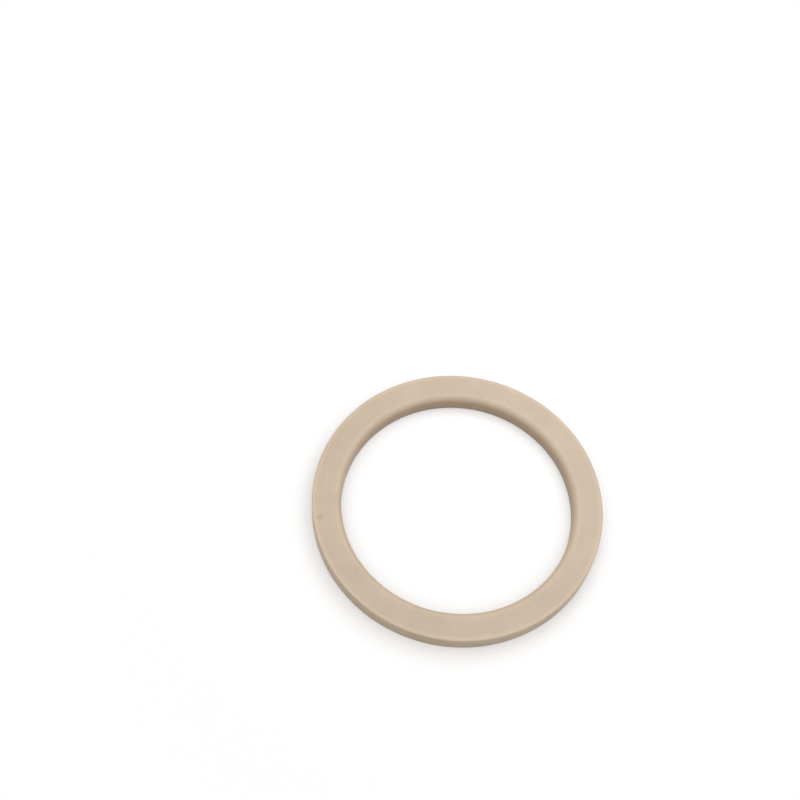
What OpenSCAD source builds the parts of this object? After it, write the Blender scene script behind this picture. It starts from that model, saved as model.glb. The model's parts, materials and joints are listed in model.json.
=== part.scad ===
// Flat sealing ring, machined from solid engineering plastic as one piece.
// Its section is a plain rectangle with one wide round, at the rim of the hole on
// the upper face. The other three edges have only a small break.
// Millimetres. +Z is the ring's axis, and the origin is the centre of the underside.

/* [Ring] */
// Diameter of the hole
bore_d = 48; // [20:0.5:160]
// Width of the ring's face, from the wall of the hole to the outside wall
face_w = 6; // [4:0.1:20]
// Thickness of the ring along its axis
ring_t = 3.8; // [2.6:0.1:12]

/* [Edges] */
// Radius of the wide round at the rim of the hole, on the upper face
bore_round_r = 1.3; // [0.2:0.05:2]
// Radius of the small round at the outside edge of the upper face
rim_round_r = 0.3; // [0.05:0.05:1]
// Radius of the break on the two edges of the underside
under_break_r = 0.15; // [0.05:0.05:0.5]

/* [Hidden] */

bore_r = bore_d / 2;
outside_r = bore_r + face_w;

// How far a corner cut reaches past the section, so that no two edges coincide
cut_past = 0.2;

// Facets of the preview: round the axis, and round one edge
ring_facets = 240;
edge_facets = 96;

// What a round of radius r takes off a corner at the origin whose sides run along
// +X and +Y
module corner_waste(r) {
    difference() {
        translate([-cut_past, -cut_past])
            square(r + cut_past);
        translate([r, r])
            circle(r = r, $fn = edge_facets);
    }
}

// Half section of the ring, to the right of its axis
module ring_section() {
    difference() {
        translate([bore_r, 0])
            square([face_w, ring_t]);
        translate([bore_r, ring_t])
            mirror([0, 1])
                corner_waste(bore_round_r);
        translate([outside_r, ring_t])
            mirror([1, 0])
                mirror([0, 1])
                    corner_waste(rim_round_r);
        translate([bore_r, 0])
            corner_waste(under_break_r);
        translate([outside_r, 0])
            mirror([1, 0])
                corner_waste(under_break_r);
    }
}

module gasket_ring() {
    color([0.79, 0.71, 0.63])
        rotate_extrude($fn = ring_facets)
            ring_section();
}

gasket_ring();
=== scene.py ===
"""Looks of the sealing ring: its turned surface, the plain white studio and the camera of the
reference view. Metres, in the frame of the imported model: +Z is the ring's axis, and the ring lies
on z = 0 with its widely rounded rim up."""

import json
import math

import bpy
from mathutils import Euler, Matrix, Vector


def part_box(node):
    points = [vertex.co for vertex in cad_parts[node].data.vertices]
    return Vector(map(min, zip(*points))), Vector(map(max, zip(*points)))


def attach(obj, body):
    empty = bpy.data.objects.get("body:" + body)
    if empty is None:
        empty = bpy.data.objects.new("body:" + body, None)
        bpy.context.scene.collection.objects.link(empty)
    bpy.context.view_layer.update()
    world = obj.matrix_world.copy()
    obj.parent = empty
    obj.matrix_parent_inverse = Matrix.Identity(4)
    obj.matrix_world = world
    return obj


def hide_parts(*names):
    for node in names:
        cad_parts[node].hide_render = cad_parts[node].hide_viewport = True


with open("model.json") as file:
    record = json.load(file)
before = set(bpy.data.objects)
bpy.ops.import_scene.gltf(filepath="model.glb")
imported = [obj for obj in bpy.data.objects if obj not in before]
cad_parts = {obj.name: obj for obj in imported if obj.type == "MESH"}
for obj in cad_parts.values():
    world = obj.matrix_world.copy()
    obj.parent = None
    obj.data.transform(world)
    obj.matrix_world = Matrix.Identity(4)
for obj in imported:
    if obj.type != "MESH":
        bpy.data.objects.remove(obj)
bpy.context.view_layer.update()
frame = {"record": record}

MM = 0.001


# Sizes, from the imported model

def round_wall(mount_name):
    """Radius, lower end and upper end of a mount's cylindrical wall."""
    mount = next(m for m in frame["record"]["mounts"] if m["name"] == mount_name)
    half_length = mount["dims"]["length_mm"] * MM / 2
    middle = mount["pos_m"][2]
    return mount["dims"]["r_mm"] * MM, middle - half_length, middle + half_length


BORE_R, UNDER_BREAK, BORE_WALL_TOP = round_wall("bore")
OUTSIDE_R, _, OUTSIDE_WALL_TOP = round_wall("outside")
RING_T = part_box("gasket_ring")[1].z
BORE_ROUND = RING_T - BORE_WALL_TOP
RIM_ROUND = RING_T - OUTSIDE_WALL_TOP
TOP_CENTRE = Vector((0, 0, RING_T))


# Camera

# Side of the square picture in pixels, and the pixel where the upper face has its centre
PICTURE_SIDE = 800
RING_PIXEL = (458.1, 501.0)
# Distance of the ring from the camera along the line of sight
RING_DEPTH = 267.3 * MM
LENS, SENSOR = 58.5, 36.0
# Turn of the camera from looking straight down, and its small lean to the left
CAMERA_TILT, CAMERA_LEAN = math.radians(29.47), math.radians(-3.38)
# Nearest and furthest distance that the camera sees
NEAREST_SEEN, FURTHEST_SEEN = 0.01, 20


def add_camera():
    data = bpy.data.cameras.new("camera")
    data.lens, data.sensor_width = LENS, SENSOR
    data.clip_start, data.clip_end = NEAREST_SEEN, FURTHEST_SEEN
    camera = bpy.data.objects.new("camera", data)
    bpy.context.scene.collection.objects.link(camera)
    camera.rotation_euler = (CAMERA_TILT, CAMERA_LEAN, 0)
    # Width of one pixel at the ring's distance
    pixel = SENSOR / LENS * RING_DEPTH / PICTURE_SIDE
    right = (RING_PIXEL[0] - PICTURE_SIDE / 2) * pixel
    up = (PICTURE_SIDE / 2 - RING_PIXEL[1]) * pixel
    turn = Euler(camera.rotation_euler).to_matrix()
    camera.location = TOP_CENTRE - turn @ Vector((right, up, -RING_DEPTH))
    bpy.context.scene.camera = camera


add_camera()


# Node helpers

WHITE = (1, 1, 1, 1)
# Strength at which a glowing white surface is seen as plain white
PLAIN = 1.0


def add_node(tree, kind, inputs=None, **settings):
    """A node with its settings made and its inputs set to values or linked to sockets."""
    node = tree.nodes.new(kind)
    for name, value in settings.items():
        setattr(node, name, value)
    for name, value in (inputs or {}).items():
        if isinstance(value, bpy.types.NodeSocket):
            tree.links.new(value, node.inputs[name])
        else:
            node.inputs[name].default_value = value
    return node


def math_node(tree, operation, first, second=0.0):
    return add_node(tree, "ShaderNodeMath", {0: first, 1: second}, operation=operation).outputs[0]


def vector_length(tree, vector):
    node = add_node(tree, "ShaderNodeVectorMath", {0: vector}, operation="LENGTH")
    return node.outputs["Value"]


def smooth_range(tree, value, start, end, low=0.0, high=1.0):
    """low at start and before it, high at end and past it, and a smooth step between them."""
    node = add_node(
        tree,
        "ShaderNodeMapRange",
        {"Value": value, "From Min": start, "From Max": end, "To Min": low, "To Max": high},
        interpolation_type="SMOOTHSTEP",
    )
    return node.outputs["Result"]


def noise(tree, place, size, detail=3.0, roughness=0.5):
    """A noise from 0 to 1 whose clouds are about as wide as size."""
    node = add_node(
        tree,
        "ShaderNodeTexNoise",
        {"Vector": place, "Scale": 1 / size, "Detail": detail, "Roughness": roughness},
    )
    return node.outputs["Fac"]


def mixed_colour(tree, factor, first, second, blend="MIX"):
    node = add_node(tree, "ShaderNodeMix", {"Factor": factor}, data_type="RGBA", blend_type=blend)
    for socket, value in ((node.inputs[6], first), (node.inputs[7], second)):
        if isinstance(value, bpy.types.NodeSocket):
            tree.links.new(value, socket)
        else:
            socket.default_value = (*value, 1)
    return node.outputs[2]


def scaled_colour(tree, colour, scale):
    node = add_node(tree, "ShaderNodeVectorMath", {0: colour, "Scale": scale}, operation="SCALE")
    return node.outputs[0]


def new_material(name):
    material = bpy.data.materials.new(name)
    material.use_nodes = True
    material.node_tree.nodes.clear()
    return material, material.node_tree


# The ring's surface

PEEK_COLOUR = (0.598, 0.4785, 0.357)
PEEK_IOR = 1.5
ROUGH_LOW, ROUGH_HIGH = 0.36, 0.44
# What the palest and the deepest clouds make of the colour
PALE_CLOUD, DEEP_CLOUD = (1.025, 1.025, 1.025), (0.972, 0.966, 0.955)
# Widths of what varies over the surface: clouds and patches of colour, patches of satin, specks,
# grain, and the tool's lines
CLOUD_SIZE, PATCH_SIZE, SATIN_SIZE = 11 * MM, 2.6 * MM, 2.4 * MM
SPECK_SIZE, GRAIN_SIZE, TOOL_LINE_SIZE = 0.55 * MM, 0.28 * MM, 0.16 * MM
# How far the noise of the tool's lines moves on in a quarter turn, so that they change slowly on
# the way round
TOOL_LINE_DRIFT = 0.7 * MM
# How much paler or deeper patches, grain and tool lines make the colour, and what a speck leaves
PATCH_SWING, GRAIN_SWING, TOOL_LINE_SWING, SPECK_SHADE = 0.018, 0.025, 0.008, 0.92
# The part of a noise that is stretched to its whole effect: for most, for the grain, and for the
# specks, which only its peaks reach
NOISE_SPAN, GRAIN_SPAN, SPECK_SPAN = (0.3, 0.7), (0.25, 0.75), (0.76, 0.82)
# The bump of grain and tool lines: strength, depth, and what the lines count beside the grain's 1
BUMP_STRENGTH, BUMP_DEPTH, TOOL_LINE_BUMP = 0.25, 0.02 * MM, 0.35

# Painted highlights: pale bands at both rims of the upper side, standing in for the light that the
# rims catch. How far each reaches onto the face, from the outside wall and from the wide round, and
# what it makes of the colour
RIM_HIGHLIGHT_WIDTH, RIM_HIGHLIGHT_GAIN = 1.3 * MM, 1.10
INNER_HIGHLIGHT_WIDTH, INNER_HIGHLIGHT_GAIN = 0.8 * MM, 1.05

# Faint marks of the surface: azimuth from +X in degrees, distance from the axis, half length
# along the radius, half width across it, slant from the radius in degrees, and its tint
MARKS = (
    (188.8, 28.55 * MM, 1.25 * MM, 0.6 * MM, 14, (0.84, 0.83, 0.77)),
    (8.5, 25.0 * MM, 0.55 * MM, 0.26 * MM, 20, (0.87, 0.87, 0.84)),
    (7.0, 27.4 * MM, 0.35 * MM, 0.3 * MM, 0, (0.95, 0.95, 0.94)),
)
# How far a mark reaches down from the upper face, and the shares of its half size up to which it
# is whole and at which it has faded out
MARK_DEPTH, MARK_WHOLE, MARK_GONE = 1.5 * MM, 0.1, 1.1


def mark_strength(tree, place, azimuth, distance, half_length, half_width, slant):
    """1 in the middle of a mark on the upper side and 0 outside it."""
    turn = math.radians(azimuth)
    middle = (distance * math.cos(turn), distance * math.sin(turn), RING_T)
    offset = add_node(tree, "ShaderNodeVectorMath", {0: place, 1: middle}, operation="SUBTRACT")
    spun = add_node(
        tree,
        "ShaderNodeVectorRotate",
        {0: offset.outputs[0], "Angle": -turn - math.radians(slant)},
        rotation_type="Z_AXIS",
    )
    scaled = add_node(
        tree,
        "ShaderNodeVectorMath",
        {0: spun.outputs[0], 1: (1 / half_length, 1 / half_width, 1 / MARK_DEPTH)},
        operation="MULTIPLY",
    )
    from_middle = vector_length(tree, scaled.outputs[0])
    return smooth_range(tree, from_middle, MARK_WHOLE, MARK_GONE, 1.0, 0.0)


def painted_rim_highlights(tree, radius, height):
    """What the painted highlights at both rims make of the colour, one factor for each."""
    round_start = BORE_R + BORE_ROUND
    # Distance from the axis where the painted highlight starts and where it is whole, how far below
    # the face it stays whole, and what it makes of the colour
    bands = (
        (OUTSIDE_R - RIM_HIGHLIGHT_WIDTH, OUTSIDE_R - RIM_ROUND, RIM_ROUND, RIM_HIGHLIGHT_GAIN),
        (round_start + INNER_HIGHLIGHT_WIDTH, round_start - BORE_ROUND / 4, BORE_ROUND / 2, INNER_HIGHLIGHT_GAIN),
    )
    factors = []
    for start, whole_from, depth, paler in bands:
        across = smooth_range(tree, radius, start, whole_from)
        upward = smooth_range(tree, height, RING_T - 2 * depth, RING_T - depth)
        strength = math_node(tree, "MULTIPLY", across, upward)
        factors.append(smooth_range(tree, strength, 0.0, 1.0, 1.0, paler))
    return factors


def peek_material():
    """Beige engineering plastic with a fine satin from turning."""
    material, tree = new_material("peek_satin")
    place = add_node(tree, "ShaderNodeTexCoord").outputs["Object"]

    # The place as the turning tool met it: distance from the axis and height, which set the
    # tool's lines, and a slow drift on the way round
    apart = add_node(tree, "ShaderNodeSeparateXYZ", {0: place}).outputs
    around = math_node(tree, "ARCTAN2", apart["Y"], apart["X"])
    flat = add_node(tree, "ShaderNodeCombineXYZ", {"X": apart["X"], "Y": apart["Y"]})
    radius = vector_length(tree, flat.outputs[0])
    drift = math_node(tree, "MULTIPLY", math_node(tree, "COSINE", around), TOOL_LINE_DRIFT)
    turned = add_node(tree, "ShaderNodeCombineXYZ", {"X": radius, "Y": apart["Z"], "Z": drift})

    clouds = noise(tree, place, CLOUD_SIZE)
    patches = noise(tree, place, PATCH_SIZE, detail=4.0, roughness=0.6)
    grain = noise(tree, place, GRAIN_SIZE, detail=2.0)
    tool_lines = noise(tree, turned.outputs[0], TOOL_LINE_SIZE, detail=1.0)
    specks = noise(tree, place, SPECK_SIZE, detail=1.0)
    satin = noise(tree, place, SATIN_SIZE)

    # Colour: soft clouds, then the marks, then all that only makes it paler or deeper, among it the
    # painted highlights at both rims
    pale, deep = (
        tuple(c * share for c, share in zip(PEEK_COLOUR, cloud))
        for cloud in (PALE_CLOUD, DEEP_CLOUD)
    )
    colour = mixed_colour(tree, smooth_range(tree, clouds, *NOISE_SPAN), deep, pale)
    for *mark, tint in MARKS:
        colour = mixed_colour(tree, mark_strength(tree, place, *mark), colour, tint, "MULTIPLY")
    tone_and_highlights = smooth_range(tree, patches, *NOISE_SPAN, 1 - PATCH_SWING, 1 + PATCH_SWING)
    for factor in (
        smooth_range(tree, grain, *GRAIN_SPAN, 1 - GRAIN_SWING, 1 + GRAIN_SWING),
        smooth_range(tree, tool_lines, *NOISE_SPAN, 1 - TOOL_LINE_SWING, 1 + TOOL_LINE_SWING),
        smooth_range(tree, specks, *SPECK_SPAN, 1.0, SPECK_SHADE),
        *painted_rim_highlights(tree, radius, apart["Z"]),
    ):
        tone_and_highlights = math_node(tree, "MULTIPLY", tone_and_highlights, factor)

    lines_bump = math_node(tree, "MULTIPLY", tool_lines, TOOL_LINE_BUMP)
    bump = add_node(
        tree,
        "ShaderNodeBump",
        {
            "Height": math_node(tree, "ADD", grain, lines_bump),
            "Strength": BUMP_STRENGTH,
            "Distance": BUMP_DEPTH,
        },
    )
    shader = add_node(
        tree,
        "ShaderNodeBsdfPrincipled",
        {
            "Base Color": scaled_colour(tree, colour, tone_and_highlights),
            "Roughness": smooth_range(tree, satin, *NOISE_SPAN, ROUGH_LOW, ROUGH_HIGH),
            "IOR": PEEK_IOR,
            "Normal": bump.outputs["Normal"],
        },
    )
    add_node(tree, "ShaderNodeOutputMaterial", {"Surface": shader.outputs[0]})
    return material


# The ring's mesh

# Steps round the ring
TURN_STEPS = 720
# Steps along its section: over each break and round, and over the flats between them
BREAK_STEPS, RIM_ROUND_STEPS, BORE_ROUND_STEPS = 4, 8, 20
UNDERSIDE_STEPS, OUTSIDE_STEPS, FACE_STEPS, BORE_STEPS = 10, 8, 12, 6


def arc(centre, radius, start, end, steps):
    """Points of a round, from angle start to end in degrees, its first point left out."""
    turn = [math.radians(start + (end - start) * i / steps) for i in range(1, steps + 1)]
    return [(centre[0] + radius * math.cos(a), centre[1] + radius * math.sin(a)) for a in turn]


def line(start, end, steps):
    """Points from start to end, with start left out."""
    return [
        tuple(s + (e - s) * i / steps for s, e in zip(start, end)) for i in range(1, steps + 1)
    ]


def section():
    """The ring's section as a closed run of (radius, height), counter-clockwise from the foot of
    the bore's wall."""
    low, inner, outer = UNDER_BREAK, BORE_R, OUTSIDE_R
    points = [(inner, low)]
    points += arc((inner + low, low), low, 180, 270, BREAK_STEPS)
    points += line(points[-1], (outer - low, 0), UNDERSIDE_STEPS)
    points += arc((outer - low, low), low, 270, 360, BREAK_STEPS)
    points += line(points[-1], (outer, OUTSIDE_WALL_TOP), OUTSIDE_STEPS)
    points += arc((outer - RIM_ROUND, OUTSIDE_WALL_TOP), RIM_ROUND, 0, 90, RIM_ROUND_STEPS)
    points += line(points[-1], (inner + BORE_ROUND, RING_T), FACE_STEPS)
    points += arc((inner + BORE_ROUND, BORE_WALL_TOP), BORE_ROUND, 90, 180, BORE_ROUND_STEPS)
    points += line(points[-1], (inner, low), BORE_STEPS)
    # The run closes by itself, so its last point, which is the first one again, is left out
    return points[:-1]


def shares_along(outline):
    """How far along the closed outline each point lies, from 0 to 1, and 1 for its end."""
    lengths = [math.dist(a, b) for a, b in zip(outline, outline[1:] + outline[:1])]
    return [sum(lengths[:k]) / sum(lengths) for k in range(len(outline) + 1)]


# The bake's map: strips of equal turn, one above another, with a margin round each
MAP_STRIPS, MAP_MARGIN = 3, 0.012


def map_corners(step, start, end):
    """Map places of a face's four corners, from its step round the ring and from where it starts
    and ends along the section."""
    in_strip = TURN_STEPS // MAP_STRIPS
    strip, place = divmod(step, in_strip)
    left, right = (MAP_MARGIN + (1 - 2 * MAP_MARGIN) * k / in_strip for k in (place, place + 1))
    # The margin in the units of a strip's own height
    margin = MAP_STRIPS * MAP_MARGIN
    low, high = ((strip + margin + (1 - 2 * margin) * a) / MAP_STRIPS for a in (start, end))
    return [(left, low), (right, low), (right, high), (left, high)]


def ring_mesh():
    outline = section()
    count = len(outline)
    shares = shares_along(outline)
    vertices = []
    for step in range(TURN_STEPS):
        turn = 2 * math.pi * step / TURN_STEPS
        vertices += [(r * math.cos(turn), r * math.sin(turn), z) for r, z in outline]
    faces, places = [], []
    for step in range(TURN_STEPS):
        here, there = step * count, (step + 1) % TURN_STEPS * count
        for i in range(count):
            j = (i + 1) % count
            faces.append((here + i, there + i, there + j, here + j))
            places += map_corners(step, shares[i], shares[i + 1])
    mesh = bpy.data.meshes.new("gasket_ring_turned")
    mesh.from_pydata(vertices, [], faces)
    uv_map = mesh.uv_layers.new(name="OFBake")
    uv_map.data.foreach_set("uv", [value for place in places for value in place])
    mesh.validate()
    mesh.shade_smooth()
    return mesh


def add_ring():
    ring = bpy.data.objects.new("gasket_ring_turned", ring_mesh())
    bpy.context.scene.collection.objects.link(ring)
    ring.data.materials.append(peek_material())
    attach(ring, "root")
    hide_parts("gasket_ring")


add_ring()


# Studio

FLOOR_HALF = 3.0
# Painted bounce and shade: what the floor throws back on the ring, in the hole and outside, tinted
# warm, and what is left of it at the foot of the walls, where it is painted shade, rising to the
# whole over a short way
BOUNCE_IN, BOUNCE_OUT = (0.56, 0.32, 0.12), (0.60, 0.51, 0.38)
FOOT_SHADE_IN, FOOT_SHADE_OUT, FOOT_SHADE_REACH = 0.10, 0.65, 6.0 * MM
# How much of the floor's look is its shading, and how much plain white
FLOOR_SHADING, FLOOR_WHITE = 0.83, 0.22
# Distances from the axis between which that look turns into plain white alone
SHADING_END, WHITE_START = 0.045, 0.09
# Light of the tent at the horizon and overhead
SIDE_LIGHT, TOP_LIGHT = 0.07, 1.26


def seen_directly(tree):
    """1 for rays from the camera, glossy rays and rays through clear things, and 0 for others."""
    path = add_node(tree, "ShaderNodeLightPath").outputs
    seen = math_node(tree, "MAXIMUM", path["Is Camera Ray"], path["Is Glossy Ray"])
    return math_node(tree, "MAXIMUM", seen, path["Is Transmission Ray"])


def floor_bounce_with_painted_shade(tree, from_axis):
    """The floor's colour for light that it throws back on the ring: a painted warm bounce, with
    painted shade at the foot of the ring's walls.
    """
    inside = smooth_range(tree, from_axis, BORE_R - FOOT_SHADE_REACH, BORE_R, 1.0, FOOT_SHADE_IN)
    outside = smooth_range(tree, from_axis, OUTSIDE_R, OUTSIDE_R + FOOT_SHADE_REACH, FOOT_SHADE_OUT, 1.0)
    return mixed_colour(
        tree,
        math_node(tree, "GREATER_THAN", from_axis, (BORE_R + OUTSIDE_R) / 2),
        scaled_colour(tree, BOUNCE_IN, inside),
        scaled_colour(tree, BOUNCE_OUT, outside),
    )


def floor_material():
    """White paper that keeps the ring's shadow and turns into plain white further out."""
    material, tree = new_material("white_floor")
    from_axis = vector_length(tree, add_node(tree, "ShaderNodeTexCoord").outputs["Object"])
    seen = seen_directly(tree)
    colour = mixed_colour(tree, seen, floor_bounce_with_painted_shade(tree, from_axis), (FLOOR_SHADING,) * 3)
    paper = add_node(tree, "ShaderNodeBsdfDiffuse", {"Color": colour})
    glow = add_node(
        tree,
        "ShaderNodeEmission",
        {"Color": WHITE, "Strength": math_node(tree, "MULTIPLY", seen, FLOOR_WHITE)},
    )
    lit = add_node(tree, "ShaderNodeAddShader", {0: paper.outputs[0], 1: glow.outputs[0]})
    white = add_node(tree, "ShaderNodeEmission", {"Color": WHITE, "Strength": PLAIN})
    far = smooth_range(tree, from_axis, SHADING_END, WHITE_START)
    far = math_node(tree, "MULTIPLY", far, seen)
    both = add_node(tree, "ShaderNodeMixShader", {0: far, 1: lit.outputs[0], 2: white.outputs[0]})
    add_node(tree, "ShaderNodeOutputMaterial", {"Surface": both.outputs[0]})
    return material


def add_floor():
    corners = [(x * FLOOR_HALF, y * FLOOR_HALF, 0) for x, y in ((-1, -1), (1, -1), (1, 1), (-1, 1))]
    mesh = bpy.data.meshes.new("floor")
    mesh.from_pydata(corners, [], [(0, 1, 2, 3)])
    mesh.materials.append(floor_material())
    floor = bpy.data.objects.new("floor", mesh)
    bpy.context.scene.collection.objects.link(floor)


def add_world():
    """A white tent, brighter overhead than at the sides. What is seen directly is plain white."""
    world = bpy.data.worlds.new("tent")
    world.use_nodes = True
    tree = world.node_tree
    tree.nodes.clear()
    direction = add_node(tree, "ShaderNodeTexCoord").outputs["Generated"]
    height = add_node(tree, "ShaderNodeSeparateXYZ", {0: direction}).outputs["Z"]
    level = smooth_range(tree, height, 0.0, 1.0, SIDE_LIGHT, TOP_LIGHT)
    lit = add_node(tree, "ShaderNodeBackground", {"Color": WHITE, "Strength": level})
    plain = add_node(tree, "ShaderNodeBackground", {"Color": WHITE, "Strength": PLAIN})
    both = add_node(
        tree,
        "ShaderNodeMixShader",
        {0: seen_directly(tree), 1: lit.outputs[0], 2: plain.outputs[0]},
    )
    add_node(tree, "ShaderNodeOutputWorld", {"Surface": both.outputs[0]})
    bpy.context.scene.world = world


def add_softbox(name, azimuth, elevation, distance, size, power):
    """A square lamp aimed at the ring, angles in degrees. Azimuth 0 is to the right, +X, and 90
    behind, +Y."""
    data = bpy.data.lights.new(name, "AREA")
    data.shape, data.size, data.energy = "SQUARE", size, power
    lamp = bpy.data.objects.new(name, data)
    bpy.context.scene.collection.objects.link(lamp)
    a, e = math.radians(azimuth), math.radians(elevation)
    towards = Vector((math.cos(a) * math.cos(e), math.sin(a) * math.cos(e), math.sin(e)))
    lamp.location = TOP_CENTRE + towards * distance
    lamp.rotation_euler = towards.to_track_quat("Z", "Y").to_euler()
    lamp.visible_camera = False


add_floor()
add_world()
add_softbox("close_softbox", azimuth=60, elevation=55, distance=0.10, size=0.06, power=0.0122)

bpy.context.scene.view_settings.view_transform = "Standard"
